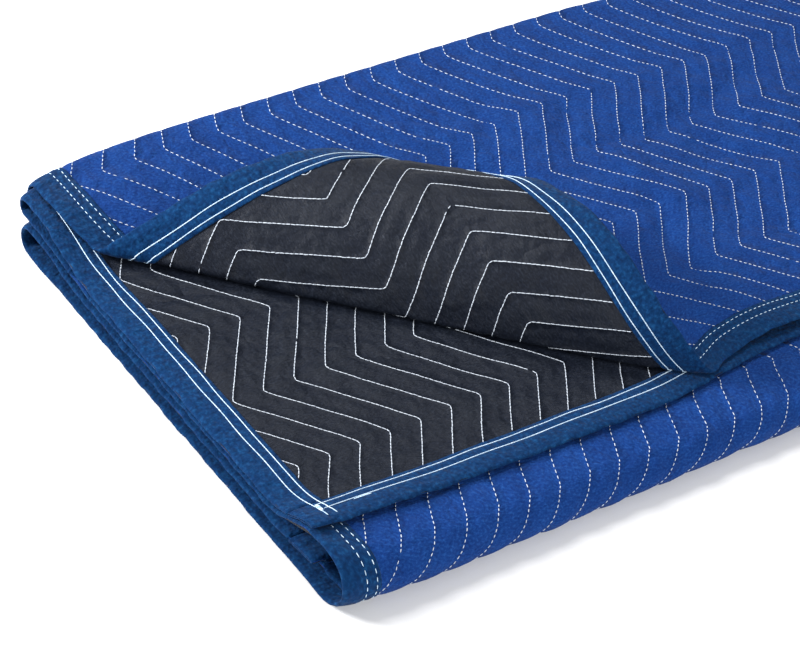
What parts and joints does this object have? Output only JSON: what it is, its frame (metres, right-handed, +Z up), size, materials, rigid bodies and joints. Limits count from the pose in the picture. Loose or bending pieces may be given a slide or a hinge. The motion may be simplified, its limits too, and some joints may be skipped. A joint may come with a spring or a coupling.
{
  "type": "moving blanket",
  "caption": "Quilted moving blanket with bound edges, folded into a flat stack, one corner of the top layer turned back to show the dark back cloth.",
  "frame": {"origin": "on the floor, under the middle of the folded blanket's bounding box", "axes": "+X along the folded length, from the bound ends to the crosswise fold; +Y from the front fold to the back folds; +Z up, from the floor to the turned-back corner"},
  "size_m": [0.9306, 0.5538, 0.1285],
  "materials": {
    "face_cloth": "matt, quilted",
    "back_cloth": "matt, quilted",
    "binding_upper_end": "matt felted tape",
    "binding_lower_end": "matt felted tape",
    "binding_top_edge": "matt felted tape",
    "binding_inner_edge": "matt felted tape"
  },
  "bodies": {
    "root": {"face_cloth": "face_cloth", "back_cloth": "back_cloth", "binding_upper_end": "binding_upper_end", "binding_lower_end": "binding_lower_end", "binding_top_edge": "binding_top_edge", "binding_inner_edge": "binding_inner_edge"}
  },
  "joints": []
}
